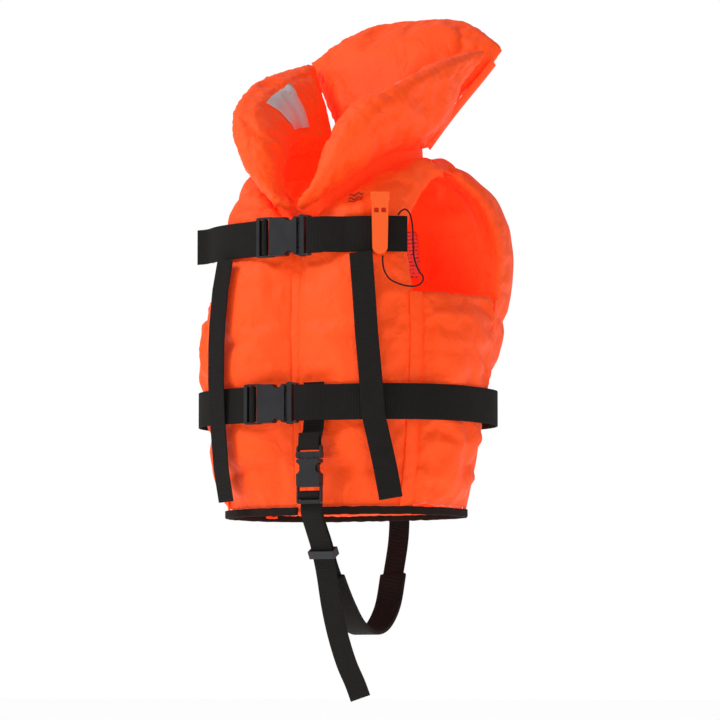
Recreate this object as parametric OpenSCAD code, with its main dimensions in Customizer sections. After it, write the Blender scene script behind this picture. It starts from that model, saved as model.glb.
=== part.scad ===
// Child's foam life jacket, worn shape, with collar, head support, three clasps and a crotch strap.
// Millimetres. +Z is up, the front faces -Y and the wearer's left is +X.
// The origin is at the middle of the neck, level with the shoulders.

/* [Jacket] */
// Width over the chest
chest_w = 326; // [290:2:396]
// Depth from the neck axis to the front of the chest
front_depth = 116; // [100:1:140]
// Depth from the neck axis to the back of the shoulder blades
back_depth = 165; // [140:1:198]
// Drop from the neck to the hem
hem_drop = 390; // [325:5:468]
// Drop from the neck to the bottom of the armholes
armhole_drop = 161; // [140:1:180]
// Drop from the neck to the point of the V neck
neck_v_drop = 78; // [66:1:90]

/* [Pads] */
// Thickness of a front panel
front_pad = 42; // [34:1:50]
// Thickness of the back panel
back_pad = 36; // [30:1:44]
// Thickness of a collar lobe
lobe_pad = 40; // [32:1:48]
// Thickness of the head support
head_pad = 46; // [38:1:56]
// Thickness of a side gusset
gusset_pad = 15; // [12:1:18]
// Thickness of every pad at its sewn edge
pad_edge = 11; // [9:0.5:13]
// Thickness of the cover fabric with its lining
cover_wall = 1.4; // [1:0.1:1.7]
// Gap between a cover and its foam
foam_gap = 0.8; // [0.5:0.1:1]

/* [Collar] */
// Height of the collar top above the neck
collar_rise = 170; // [142:1:204]
// Half width of the collar at the tips of the head support
collar_half_w = 122; // [102:1:146]

/* [Webbing] */
// Width of the two belts
belt_w = 38; // [32:1:45]
// Width of the vertical and crotch straps
strap_w = 25; // [21:1:30]
// Thickness of all webbing
web_t = 1.4; // [1.2:0.1:1.7]
// Gap between layers of webbing
web_gap = 0.8; // [0.6:0.1:1]
// Drop from the neck to the middle of the upper belt
upper_belt_drop = 98; // [88:1:106]
// Drop from the neck to the middle of the lower belt
lower_belt_drop = 276; // [240:1:300]
// Length of the free end of the upper belt past the side
free_end = 24; // [20:1:29]
// Length of the crotch buckle's drop strap below the lower belt
crotch_drop_len = 44; // [37:1:53]

/* [Buckles] */
// Thickness of a buckle for the belts
buckle_t = 11; // [9.5:0.5:13]
// Wall of the buckle sockets
socket_wall = 2; // [1.6:0.1:2.4]
// Length of a belt buckle's socket
socket_len = 34; // [28:1:41]
// Length of a belt buckle's strap adjuster
adjuster_len = 18; // [16:0.5:21]
// Length of a belt buckle's plug base
plug_len = 15; // [13:0.5:18]
// Diameter of the pivot at the root of a prong
prong_pivot_d = 5; // [4.2:0.1:6]
// Running gap round a prong's pivot
pivot_gap = 0.08; // [0.06:0.01:0.1]
// Gap between the plug's pieces and the socket
plug_gap = 0.5; // [0.4:0.05:0.8]
// How far the buckle's side rails stand past the webbing
rail_w = 2.5; // [2:0.1:3]

/* [Whistle] */
// Height of the whistle
whistle_h = 66; // [55:1:79]
// Width of the whistle
whistle_w = 20; // [17:0.5:24]
// Thickness of the whistle
whistle_t = 11; // [9.5:0.5:13]
// Diameter of the lanyard
cord_d = 1.8; // [1.5:0.1:2.1]

/* [Hidden] */
$fn = 32;

// Fabric and plastic colours.
orange = [1, 0.36, 0.1];
black = [0.13, 0.12, 0.12];
foam_white = [0.93, 0.93, 0.9];

// Levels, from the neck down.
hem_z = -hem_drop;
arm_z = -armhole_drop;
upper_z = -upper_belt_drop;
lower_z = -lower_belt_drop;
v_z = -neck_v_drop;

// The shape was drawn at these sizes, and its outline points stretch with the real ones.
drawn_half_w = 163;
drawn_front = 116;
drawn_back = 165;
drawn_rise = 170;
drawn_collar = 122;
wide = chest_w / 2 / drawn_half_w;
deep_front = front_depth / drawn_front;
deep_back = back_depth / drawn_back;
function at(x, y, z) = [x * wide, y * (y < 0 ? deep_front : deep_back), z];
// A point of the collar: its width and height follow the collar's own sizes as they near the rim.
function collar_at(x, y, z) = [
    x * (x > 60 ? wide + (collar_half_w / drawn_collar - wide) * min(1, (x - 60) / 40) : wide),
    y * (y < 0 ? deep_front : deep_back),
    z > 0 ? z * collar_rise / drawn_rise : z
];

// ---- Smooth curves and surfaces through a few points ----
function bend(a, b, c, d, t) =
    0.5 * (2 * b + (c - a) * t + (2 * a - 5 * b + 4 * c - d) * t * t
    + (3 * b - a - 3 * c + d) * t * t * t);
function along(list, s) =
    let (n = len(list) - 1, k = max(0, min(floor(s * n), n - 1)), a = list[k], b = list[k + 1])
    bend(k > 0 ? list[k - 1] : 2 * a - b, a, b, k < n - 1 ? list[k + 2] : 2 * b - a, s * n - k);
function spread(list, n) = [for (i = [0:n - 1]) along(list, i / (n - 1))];
function patch(rows, u, v) = along([for (r = rows) along(r, u)], v);
function unit(v) = v / norm(v);
function patch_normal(rows, u, v) =
    let (e = 0.01, a = max(0, u - e), b = min(1, u + e), c = max(0, v - e), d = min(1, v + e))
    unit(cross(patch(rows, b, v) - patch(rows, a, v), patch(rows, u, d) - patch(rows, u, c)));

// ---- Torso section: a rounded box, wider and deeper at some levels than at others ----
round_power = 2.6;
side_seam_a = 58;
back_seam_a = 111;
// [level, front half width, back half width, front depth, back depth], as shares of the chest's sizes.
levels = [
    [hem_z, 0.83, 0.83, 0.87, 0.56],
    [(hem_z + lower_z) / 2, 0.91, 0.91, 0.94, 0.6],
    [lower_z, 0.95, 0.95, 0.98, 0.66],
    [(lower_z * 2 + arm_z) / 3, 0.98, 0.98, 1, 0.79],
    [(lower_z + arm_z * 2) / 3, 0.99, 1, 1.01, 0.92],
    [arm_z, 0.97, 1.02, 1, 0.99],
    [(arm_z + upper_z) / 2, 0.91, 1.04, 0.98, 1],
    [upper_z, 0.84, 1.04, 0.95, 1]
];
function level_row(z, k = 0) = k < len(levels) - 2 && z > levels[k + 1][0] ? level_row(z, k + 1) : k;
function share(z, i) =
    let (k = level_row(z), t = (z - levels[k][0]) / (levels[k + 1][0] - levels[k][0]))
    levels[k][i] + (levels[k + 1][i] - levels[k][i]) * min(1.3, t);
function ease(t) = let (s = max(0, min(1, t))) s * s * (3 - 2 * s);
function section_w(a, z) =
    let (back = ease((a - side_seam_a) / (back_seam_a - side_seam_a)))
    chest_w / 2 * (share(z, 1) * (1 - back) + share(z, 2) * back);
function section_r(a, z) =
    let (turn = abs(a) > 180 ? 360 - abs(a) : abs(a),
        depth = turn < 90 ? front_depth * share(z, 3) : back_depth * share(z, 4))
    1 / pow(pow(abs(sin(turn)) / section_w(turn, z), round_power)
    + pow(abs(cos(turn)) / depth, round_power), 1 / round_power);
function ring(a, z, off = 0) = let (r = section_r(a, z) + off) [r * sin(a), -r * cos(a), z];
// Distance from the axis that clears the section over a band's whole height.
function clear_r(a, z, half) =
    max([for (k = [-1:0.5:1]) section_r(a, z + k * half)]);

// ---- Pads: a face, with its thickness on the inner side and thinner sewn edges ----
edge_round = 7;
// A pad with a pointed nose is solid for this share of its length, where its foam can't reach.
nose_share = 0.2;
function swell(u, v) = sqrt(max(0, (1 - pow(abs(2 * u - 1), 3)) * (1 - pow(abs(2 * v - 1), 3))));
function pad_thickness(thick, v, taper, nose) =
    thick * (1 - taper * ease((v - 0.6) / 0.4)) * (1 - nose * (1 - ease(v / 0.4)));
function pad_grid(rows, thick, inset, nu, nv, outer, taper, nose) =
    let (up = norm(patch(rows, 0.5, 1) - patch(rows, 0.5, 0)),
        end = inset / up, start = end + (inset > 0 ? nose * nose_share : 0))
    [for (j = [0:nv])
        let (v = start + (1 - start - end) * j / nv,
            side = inset / norm(patch(rows, 1, v) - patch(rows, 0, v)))
        for (i = [0:nu]) let (u = side + (1 - 2 * side) * i / nu,
            full = pad_thickness(thick, v, taper, nose),
            s = swell(i / nu, j / nv),
            top = edge_round * (1 - s) + inset,
            bottom = (edge_round + pad_edge) * (1 - s) + full * s - inset)
        patch(rows, u, v) - patch_normal(rows, u, v) * (outer ? top : bottom)];
module solid_between(top, bottom, nu, nv) {
    n = (nu + 1) * (nv + 1);
    w = nu + 1;
    sheet = [for (j = [0:nv - 1], i = [0:nu - 1]) let (a = j * w + i)
        each [[a, a + w, a + 1], [a + 1, a + w, a + w + 1]]];
    under = [for (f = sheet) [f[0] + n, f[2] + n, f[1] + n]];
    loop = concat([for (i = [0:nu - 1]) i], [for (j = [0:nv - 1]) j * w + nu],
        [for (i = [nu:-1:1]) nv * w + i], [for (j = [nv:-1:1]) j * w]);
    walls = [for (k = [0:len(loop) - 1]) let (a = loop[k], b = loop[(k + 1) % len(loop)])
        each [[a, b, b + n], [a, b + n, a + n]]];
    polyhedron(concat(top, bottom), concat(sheet, under, walls), convexity = 6);
}
module pad(rows, thick, inset = 0, nu = 8, nv = 12, taper = 0, nose = 0) {
    solid_between(pad_grid(rows, thick, inset, nu, nv, true, taper, nose),
        pad_grid(rows, thick, inset, nu, nv, false, taper, nose), nu, nv);
}
module cover(rows, thick, nu = 8, nv = 12, taper = 0, nose = 0) {
    difference() {
        pad(rows, thick, 0, nu, nv, taper, nose);
        pad(rows, thick, cover_wall, nu, nv, taper, nose);
    }
}
module foam(rows, thick, nu = 8, nv = 12, taper = 0, nose = 0) {
    pad(rows, thick, cover_wall + foam_gap, nu, nv, taper, nose);
}
// A thin plate lying on a pad's face, between two pairs of surface coordinates.
module plate_on(rows, thick, us, vs, inner, plate_t = 1, taper = 0, nose = 0) {
    n = 4;
    base = [for (j = [0:n], i = [0:n])
        let (u = us[0] + (us[1] - us[0]) * i / n, v = vs[0] + (vs[1] - vs[0]) * j / n,
            full = pad_thickness(thick, v, taper, nose), s = swell(u, v),
            depth = inner ? (edge_round + pad_edge) * (1 - s) + full * s : edge_round * (1 - s))
        [patch(rows, u, v), patch_normal(rows, u, v), depth]];
    near = plate_gap * (inner ? 1 : -1);
    far = (plate_gap + plate_t) * (inner ? 1 : -1);
    low = [for (b = base) b[0] - b[1] * (b[2] + near)];
    high = [for (b = base) b[0] - b[1] * (b[2] + far)];
    solid_between(inner ? low : high, inner ? high : low, n, n);
}
plate_gap = 2;

// ---- Panel outlines: rows from the hem up, points from the front opening or the back's middle out ----
opening_gap = 2;
seam_gap = 3.5;
columns = 7;
function opening_a(z) = atan2(opening_gap, front_depth * share(z, 3));
function ring_row(z, a0, a1) = [for (i = [0:columns - 1]) ring(a0 + (a1 - a0) * i / (columns - 1), z)];
body_levels = [for (l = levels) l[0]];
front_rows = concat(
    [for (z = body_levels) ring_row(z, opening_a(z), side_seam_a)],
    [
        spread([at(14, -108, v_z + 2), at(50, -106, -70), at(88, -94, -68), at(116, -54, -66)], columns),
        spread([at(38, -97, -56), at(66, -90, -50), at(94, -72, -46), at(117, -35, -46)], columns),
        spread([at(62, -66, -32), at(80, -60, -25), at(100, -44, -23), at(119, -13, -29)], columns),
        spread([at(77, -22, -8), at(90, -22, -6), at(106, -15, -8), at(122, -5, -19)], columns),
        spread([at(80, 31, 1), at(95, 25, 0), at(110, 17, -7), at(124, 7, -17)], columns)
    ]
);
back_rows = concat(
    [for (z = body_levels) ring_row(z, 180, back_seam_a)],
    [
        spread([at(0, 156, -52), at(52, 152, -52), at(112, 128, -52), at(160, 58, -66)], columns),
        spread([at(0, 134, -20), at(50, 126, -19), at(100, 92, -18), at(149, 46, -38)], columns),
        spread([at(0, 92, 4), at(44, 84, 5), at(84, 48, 6), at(128, 22, -12)], columns)
    ]
);
// The whole back is one pad, from the wearer's left seam to the right.
function whole(rows) = [for (r = rows)
    concat([for (k = [columns - 1:-1:1]) r[k]], [for (p = r) [-p.x, p.y, p.z]])];
gusset_rows = [for (k = [0:5]) ring_row(
    k == 5 ? arm_z + 4 : k == 0 ? hem_z + seam_gap : levels[k][0],
    side_seam_a + seam_gap, back_seam_a - seam_gap)];

// Collar lobe, wearer's left: rows from the V point to the crease, points from the neck to the rim.
// They give its underside, and its thickness is above them.
lobe_outline = [
    [collar_at(11, -108, -78), collar_at(19, -113, -72), collar_at(27, -118, -66)],
    [collar_at(34, -96, -57), collar_at(44, -113, -44), collar_at(55, -121, -29)],
    [collar_at(57, -64, -31), collar_at(68, -97, -13), collar_at(77, -116, 7)],
    [collar_at(71, -24, -8), collar_at(90, -58, 18), collar_at(102, -84, 42)],
    [collar_at(78, 12, 0), collar_at(104, -4, 40), collar_at(122, -16, 81)],
    [collar_at(80, 46, 6), collar_at(104, 46, 57), collar_at(124, 52, 104)],
    [collar_at(62, 73, 8), collar_at(86, 88, 62), collar_at(120, 112, 117)]
];
lobe_rows = [for (r = lobe_outline) [r[2], r[1], r[0]]];
lobe_nose = 0.75;
// Head support: rows from the nape up, points from the wearer's left to the right.
function head_row(middle, side, tip) = [tip, side, middle, [-side.x, side.y, side.z], [-tip.x, tip.y, tip.z]];
head_rows = [
    head_row(collar_at(0, 97, 8), collar_at(28, 95, 9), collar_at(54, 84, 18)),
    head_row(collar_at(0, 120, 56), collar_at(42, 116, 56), collar_at(82, 104, 62)),
    head_row(collar_at(0, 146, 110), collar_at(60, 142, 104), collar_at(110, 128, 97)),
    head_row(collar_at(0, 168, 167), collar_at(68, 162, 160), collar_at(122, 142, 123))
];
upper_taper = 0.4;

module front_left_cover() { color(orange) cover(front_rows, front_pad, taper = upper_taper); }
module front_right_cover() { mirror([1, 0, 0]) front_left_cover(); }
module back_cover() { color(orange) cover(whole(back_rows), back_pad, 14, 12, upper_taper); }
module front_left_foam() { color(foam_white) foam(front_rows, front_pad, taper = upper_taper); }
module front_right_foam() { mirror([1, 0, 0]) front_left_foam(); }
module back_foam() { color(foam_white) foam(whole(back_rows), back_pad, 14, 12, upper_taper); }
module side_gusset_left() { color(orange) pad(gusset_rows, gusset_pad, 0, 8, 8); }
module side_gusset_right() { mirror([1, 0, 0]) side_gusset_left(); }
module collar_left_cover() { color(orange) cover(lobe_rows, lobe_pad, nose = lobe_nose); }
module collar_right_cover() { mirror([1, 0, 0]) collar_left_cover(); }
module collar_left_foam() { color(foam_white) foam(lobe_rows, lobe_pad, nose = lobe_nose); }
module collar_right_foam() { mirror([1, 0, 0]) collar_left_foam(); }
module head_support_cover() { color(orange) cover(head_rows, head_pad, 12, 8); }
module head_support_foam() { color(foam_white) foam(head_rows, head_pad, 12, 8); }

// ---- Flat webbing ----
// A band standing on edge along a level path: its outline is the path with half its thickness each side.
function side_step(path, k) =
    let (a = path[max(0, k - 1)], b = path[min(len(path) - 1, k + 1)], d = unit([b.x - a.x, b.y - a.y]))
    [d.y, -d.x];
function band_outline(path, t) = concat(
    [for (k = [0:len(path) - 1]) [path[k].x, path[k].y] + side_step(path, k) * t / 2],
    [for (k = [len(path) - 1:-1:0]) [path[k].x, path[k].y] - side_step(path, k) * t / 2]);
module band(path, z, w, t = web_t) {
    translate([0, 0, z - w / 2]) linear_extrude(w) polygon(band_outline(path, t));
}
function band_path(a0, a1, z, w, off, step = 5) =
    let (n = ceil(abs(a1 - a0) / step))
    [for (k = [0:n]) let (a = a0 + (a1 - a0) * k / n, r = clear_r(a, z, w / 2) + off)
        [r * sin(a), -r * cos(a)]];
// A flat strap along any path: each ring has the same four corners.
function strap_ring(p, way, side, w, t) =
    let (s = unit(side - way * (side * way)), n = cross(way, s))
    [p + s * w / 2 + n * t / 2, p - s * w / 2 + n * t / 2, p - s * w / 2 - n * t / 2, p + s * w / 2 - n * t / 2];
module swept(rings) {
    m = len(rings[0]);
    n = len(rings);
    sides = [for (k = [0:n - 2], i = [0:m - 1])
        let (a = k * m + i, b = k * m + (i + 1) % m) each [[b, a, b + m], [b + m, a, a + m]]];
    ends = [for (i = [1:m - 2]) each [[0, i, i + 1], [(n - 1) * m, (n - 1) * m + i + 1, (n - 1) * m + i]]];
    polyhedron([for (r = rings) each r], concat(sides, ends), convexity = 8);
}
function way_at(path, k) = unit(path[min(len(path) - 1, k + 1)] - path[max(0, k - 1)]);
module strap(path, sides, w, t = web_t) {
    swept([for (k = [0:len(path) - 1]) strap_ring(path[k], way_at(path, k), sides[k], w, t)]);
}
// The whistle's clip stands behind the upper belt.
clip_t = 1.6;
clip_room = 1.4;
// The middle of each layer of webbing over the panels.
under_off = web_gap + web_t / 2;
layer = web_t + web_gap;
// A flat strap needs this much more room under a belt that curves round the body.
flat_room = 1.6;
belt_off = under_off + layer + flat_room;
vertical_off = belt_off + 2 * layer;
upper_off = clip_room + clip_t + web_gap + web_t / 2;

// ---- Where the buckles sit ----
bar_r = 2;
upper_mouth_x = 13;
lower_mouth_x = 0;
crotch_x = 28;
buckle_lift = buckle_t / 2 + 2;
upper_buckle_y = -clear_r(0, upper_z, belt_w / 2) - upper_off - buckle_lift;
lower_buckle_y = -clear_r(0, lower_z, belt_w / 2) - belt_off - buckle_lift;
crotch_scale = strap_w / belt_w;
crotch_t = buckle_t * 0.85;
crotch_socket_len = socket_len * 0.86;
crotch_adjuster_len = adjuster_len;
crotch_plug_len = plug_len;
crotch_mouth_z = lower_z - belt_w / 2 - crotch_drop_len + 3;
crotch_y = lower_buckle_y + 1;

// Local axes of a buckle: +X from the plug to the socket, Y across the webbing and Z through it.
module at_upper() { translate([upper_mouth_x, upper_buckle_y, upper_z]) rotate([90, 0, 180]) children(); }
module at_lower() { translate([lower_mouth_x, lower_buckle_y, lower_z]) rotate([90, 0, 180]) children(); }
module at_crotch() {
    translate([crotch_x, crotch_y, crotch_mouth_z]) rotate([90, 90, 0]) children();
}
function half_height(w) = w / 2 + rail_w;
module rounded(x0, x1, half_w, r) {
    translate([x0 + r, -half_w]) square([x1 - x0 - 2 * r, 2 * half_w]);
    translate([x0, r - half_w]) square([x1 - x0, 2 * (half_w - r)]);
    for (x = [x0 + r, x1 - r], y = [r - half_w, half_w - r]) translate([x, y]) circle(r);
}
module plate(x0, x1, half_w, r, t) { translate([0, 0, -t / 2]) linear_extrude(t) rounded(x0, x1, half_w, r); }
module block(x0, x1, half_w, t) { translate([x0, -half_w, -t / 2]) cube([x1 - x0, 2 * half_w, t]); }
// Positions along the adjuster: the wall, then the first slot, the middle bar, the second slot and the end bar.
function middle_bar_x(length, adjuster) = length + adjuster * 0.42;
function end_bar_x(length, adjuster) = length + adjuster - bar_r;
notch_r = 6.5;
thin_bar_r = 1.6;
module round_bar(reach) { rotate([90, 0, 0]) cylinder(r = thin_bar_r, h = 2 * reach + 1, center = true); }
module socket(w, t, length, adjuster) {
    hw = half_height(w);
    slot_w = w / 2 + 0.6;
    difference() {
        union() {
            plate(0, length, hw - 1, 2, t);
            plate(length - 4, length + adjuster, hw, 2.5, 2 * bar_r);
        }
        block(-1, length - socket_wall, hw - 1 - socket_wall, t - 2 * socket_wall);
        for (s = [-1, 1]) translate([notch_r + 3, s * (hw + 1), -t]) cylinder(r = notch_r, h = 2 * t);
        block(length + 0.4, length + adjuster - 2 * bar_r, slot_w, t + 1);
    }
    translate([middle_bar_x(length, adjuster), 0, 0]) round_bar(slot_w);
}
// The plug's base is a frame with a bar for the sewn loop, round ears, and a tongue that guides it in.
function pivot_x() = -prong_pivot_d / 2 - 1.2;
barb = 2.6;
arm_half = 1.5;
function pivot_y(w) = half_height(w) - 1 - socket_wall - plug_gap - barb;
function arm_t(t) = t - 2 * socket_wall - 2 * plug_gap;
module plug(w, t, length) {
    hw = half_height(w);
    base_end = -plug_gap;
    slot_end = pivot_x() - prong_pivot_d / 2 - 1.5;
    translate([bar_r - length, 0, 0]) round_bar(w / 2 + 0.6);
    difference() {
        union() {
            plate(-length, base_end, hw, 3.5, t * 0.55);
            plate(-length * 0.55, base_end, hw + 1, 3, t * 0.5);
            block(base_end - 1, length, 3.5, arm_t(t));
        }
        block(-length - 1, slot_end, w / 2 + 0.6, t + 1);
        for (s = [-1, 1]) translate([pivot_x(), s * pivot_y(w), -t]) {
            cylinder(d = prong_pivot_d + 2 * pivot_gap, h = 2 * t);
            translate([0, -arm_half - 1, 0]) cube([prong_pivot_d * 2, 2 * arm_half + 2, 2 * t]);
        }
    }
}
// One sprung arm with its barb, drawn for the +Y side.
module prong(w, t, length, side) {
    reach = length * 0.6;
    translate([pivot_x(), side * pivot_y(w), -arm_t(t) / 2]) mirror([0, side < 0 ? 1 : 0, 0]) {
        cylinder(d = prong_pivot_d, h = arm_t(t));
        linear_extrude(arm_t(t)) polygon([
            [0, -arm_half], [reach, -arm_half], [reach + 4, -0.6], [reach + 5, 0.8],
            [reach + 2, barb], [reach - 5, barb], [reach - 8, arm_half], [0, arm_half]
        ]);
    }
}

// ---- Belts ----
// Half-turn of webbing round a bar, seen from above: centre, start angle and sign of the turn.
function turn(c, r, from, way, n = 6) = [for (k = [0:n]) c + r * [cos(from + way * 180 * k / n), sin(from + way * 180 * k / n)]];
web_turn_r = thin_bar_r + web_t / 2 + 0.4;
end_bar_y = bar_r + web_t / 2 + 0.6;
// The adjuster's webbing: in along the panel, round the middle bar and back out over itself.
function adjuster_in(bar_x, y, end_x) = concat(
    [[end_x - 2, y + end_bar_y + layer], [end_x + 3, y + end_bar_y + layer]],
    turn([bar_x, y], web_turn_r, 90, -1),
    [[bar_x - 2.6, y - 1.6], [end_x + 2.7, y + end_bar_y - 0.6], [end_x + 1.4, y + end_bar_y],
        [end_x - 3, y + end_bar_y]]);
function adjuster_path(inner, outer, bar_x, y, end_x) = concat(inner, adjuster_in(bar_x, y, end_x), outer);
belt_end_a = side_seam_a - 2;
upper_bar_x = upper_mouth_x - middle_bar_x(socket_len, adjuster_len);
upper_end_x = upper_mouth_x - end_bar_x(socket_len, adjuster_len);
lower_bar_x = lower_mouth_x - middle_bar_x(socket_len, adjuster_len);
lower_end_x = lower_mouth_x - end_bar_x(socket_len, adjuster_len);
belt_start_a = -32;
// The free end leaves the panel and stands out to the side.
function free_path(a, z, w, off, length) =
    let (last = band_path(a, a + 4, z, w, off)[0], step = length / 3)
    [last + step * [-0.78, 0.55], last + step * [-1.72, 0.9], last + step * [-2.7, 1]];
module upper_belt_right() {
    color(black) band(adjuster_path(
        band_path(-belt_end_a, belt_start_a, upper_z, belt_w, upper_off),
        concat(band_path(belt_start_a, -belt_end_a, upper_z, belt_w, upper_off + layer),
            free_path(-belt_end_a, upper_z, belt_w, upper_off + layer, free_end)),
        upper_bar_x, upper_buckle_y, upper_end_x), upper_z, belt_w);
}
// The fixed end: along the panel, round the plug's bar and back under itself.
function loop_path(outer, bar_x, y, back_to) = concat(
    outer,
    [[bar_x + 18, y - web_turn_r + 2]],
    turn([bar_x, y], web_turn_r, -90, -1),
    [[back_to, y + web_turn_r + 0.6]]);
upper_plug_bar_x = upper_mouth_x + plug_len - bar_r;
lower_plug_bar_x = lower_mouth_x + plug_len - bar_r;
module upper_belt_left() {
    color(black) band(loop_path(
        band_path(belt_end_a, 28, upper_z, belt_w, upper_off),
        upper_plug_bar_x, upper_buckle_y, upper_plug_bar_x + 15), upper_z, belt_w);
}
lower_tail_a = -46;
module lower_belt() {
    color(black) band(concat(
        [[lower_plug_bar_x + 17, lower_buckle_y + web_turn_r + 0.6]],
        turn([lower_plug_bar_x, lower_buckle_y], web_turn_r, 90, 1),
        [[lower_plug_bar_x + 20, lower_buckle_y - web_turn_r + 2]],
        band_path(26, 360 + belt_start_a + 4, lower_z, belt_w, belt_off + 0.001),
        adjuster_in(lower_bar_x, lower_buckle_y, lower_end_x),
        band_path(belt_start_a + 2, lower_tail_a, lower_z, belt_w, belt_off + layer)),
        lower_z, belt_w);
}

// ---- Vertical straps: under the upper belt, over the lower one, down to the hem ----
strap_rows = 14;
strap_top = upper_z - belt_w / 2 - 1;
module vertical_strap(angles) {
    path = [for (k = [0:strap_rows])
        let (z = strap_top + (hem_z + 12 - strap_top) * k / strap_rows, a = along(angles, k / strap_rows),
            r = max(clear_r(a - 4, z, 10), clear_r(a + 4, z, 10)) + vertical_off)
        [r * sin(a), -r * cos(a), z]];
    sides = [for (k = [0:strap_rows]) let (a = along(angles, k / strap_rows))
        unit(ring(a + 3, path[k].z) - ring(a - 3, path[k].z))];
    color(black) strap(path, sides, strap_w);
}
module vertical_strap_left() { vertical_strap([36, 38, 41, 49]); }
module vertical_strap_right() { vertical_strap([-36, -38, -40, -41]); }

// ---- Hem and armhole edges ----
binding_h = 9;
binding_t = 1.6;
module hem_binding() {
    gap_a = opening_a(hem_z) + 1;
    color(black) band(band_path(gap_a, 360 - gap_a, hem_z + binding_h / 2 - 2, 1, 0), hem_z + binding_h / 2 - 2,
        binding_h, binding_t);
}
module armhole_elastic_left() {
    z = arm_z - 2;
    color(orange) band(band_path(side_seam_a + 3, back_seam_a - 3, z, 7, 1.2), z, 7, 1.6);
}
module armhole_elastic_right() { mirror([1, 0, 0]) armhole_elastic_left(); }

// ---- Crotch strap ----
drop_bar_z = crotch_mouth_z + crotch_plug_len - bar_r;
crotch_bar_z = crotch_mouth_z - middle_bar_x(crotch_socket_len, crotch_adjuster_len);
crotch_end_z = crotch_mouth_z - end_bar_x(crotch_socket_len, crotch_adjuster_len);
function front_y(z) = -clear_r(14, z, 8);
// In the plane across the jacket: [y, z] points, drawn upright at the strap's own place.
module upright(path, x, w) {
    translate([x - w / 2, 0, 0]) rotate([90, 0, 90]) linear_extrude(w) polygon(band_outline(path, web_t));
}
module crotch_drop_strap() {
    top = lower_z + belt_w / 2 + 3;
    low = lower_z - belt_w / 2;
    wall = -clear_r(8, lower_z, belt_w / 2 + 6) - under_off;
    color(black) upright(concat(
        [[wall, top], [wall, low]],
        [[wall - 1.5, low - 9], [crotch_y + web_turn_r + 0.2, drop_bar_z + 8]],
        turn([crotch_y, drop_bar_z], web_turn_r, 0, -1),
        [[crotch_y - web_turn_r + 0.6, drop_bar_z + 9], [crotch_y - web_turn_r + 1.8, drop_bar_z + 15]]),
        crotch_x, strap_w);
}
// From the back of the lower belt, down over the hem, under the body and up to the clasp, then the tail.
back_y = clear_r(180, lower_z, belt_w / 2) + vertical_off;
hem_back_y = clear_r(180, hem_z + 4, 10) + vertical_off;
hang = hem_z;
crotch_route = [
    [4, back_y, lower_z + 16], [4, back_y, lower_z - 16], [4, (back_y + hem_back_y) / 2 + 3, (lower_z + hem_z) / 2],
    [5, hem_back_y + 2, hem_z + 14], [6, hem_back_y + 1, hem_z - 6],
    [8, hem_back_y - 6, hang - 30], [10, 84 * deep_back, hang - 62], [13, 66 * deep_back, hang - 98],
    [16, 38, hang - 121], [18, 8, hang - 127], [20, -22, hang - 118], [22, -48, hang - 97],
    [23, -68, hang - 74], [25, -86 * deep_front, hang - 53], [26, -97 * deep_front, hang - 34],
    [27, crotch_y + 10, crotch_end_z - 15], [crotch_x, crotch_y + end_bar_y + layer, crotch_end_z - 4],
    [crotch_x, crotch_y + end_bar_y + layer, crotch_end_z + 3]
];
crotch_turn = [for (p = concat(
    turn([crotch_y, crotch_bar_z], web_turn_r, 0, 1),
    [[crotch_y - 1.6, crotch_bar_z - 2.6], [crotch_y + end_bar_y - 0.6, crotch_end_z + 2.7]]))
    [crotch_x, p.x, p.y]];
tail_route = [
    [crotch_x, crotch_y + end_bar_y, crotch_end_z + 1.4],
    [crotch_x, crotch_y + end_bar_y, crotch_end_z - 3],
    [27, crotch_y + 6.5, crotch_end_z - 15], [26, -101 * deep_front, hang - 35], [25, -90.5 * deep_front, hang - 54],
    [25, -84 * deep_front, hang - 72], [27, -79 * deep_front, hang - 100], [31, -73 * deep_front, hang - 130],
    [38, -67 * deep_front, hang - 160], [46, -62 * deep_front, hang - 182], [51, -59 * deep_front, hang - 198]
];
strap_side = [1, 0.02, 0];
function smooth(route, n) = [for (k = [0:n]) along(route, k / n)];
module crotch_strap() {
    path = concat(smooth(crotch_route, 40), crotch_turn, smooth(tail_route, 24));
    color(black) strap(path, [for (p = path) strap_side], strap_w);
}
sleeve_t = 5.4;
// The sleeve covers the route between these two of its points.
sleeve_start = 6;
sleeve_end = 12.6;
sleeve_rings = 20;
module crotch_sleeve() {
    path = [for (k = [0:sleeve_rings]) along(crotch_route,
        (sleeve_start + (sleeve_end - sleeve_start) * k / sleeve_rings) / (len(crotch_route) - 1))];
    n = len(path);
    outer = [for (k = [0:n - 1]) strap_ring(path[k], way_at(path, k), strap_side, strap_w + 6, sleeve_t)];
    bore = [for (k = [0:n - 1])
        let (way = way_at(path, k), push = k == 0 ? -1 : k == n - 1 ? 1 : 0)
        strap_ring(path[k] + way * push, way, strap_side, strap_w + 2, web_t + 2)];
    color(black) difference() {
        swept(outer);
        swept(bore);
    }
}
keeper_h = 9;
keeper_wall = 2;
keeper_room = 8;
module strap_keeper() {
    place = (crotch_route[14] + crotch_route[13] + tail_route[3] + tail_route[4]) / 4;
    way = unit(crotch_route[13] - crotch_route[14]);
    color(black) translate(place) rotate([asin(way.y), 0, 0]) difference() {
        cube([strap_w + 2 + 2 * keeper_wall, keeper_room + 2 * keeper_wall, keeper_h], center = true);
        cube([strap_w + 2, keeper_room, keeper_h + 1], center = true);
    }
}

// ---- Whistle: clipped over the upper belt, near the armhole ----
whistle_a = 45.5;
whistle_r = clear_r(whistle_a, upper_z, belt_w / 2) + upper_off + web_t / 2 + 1.6;
whistle_top = upper_z + 43;
clip_w = 9;
chamber_w = 6;
mouth_h = 9;
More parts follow.
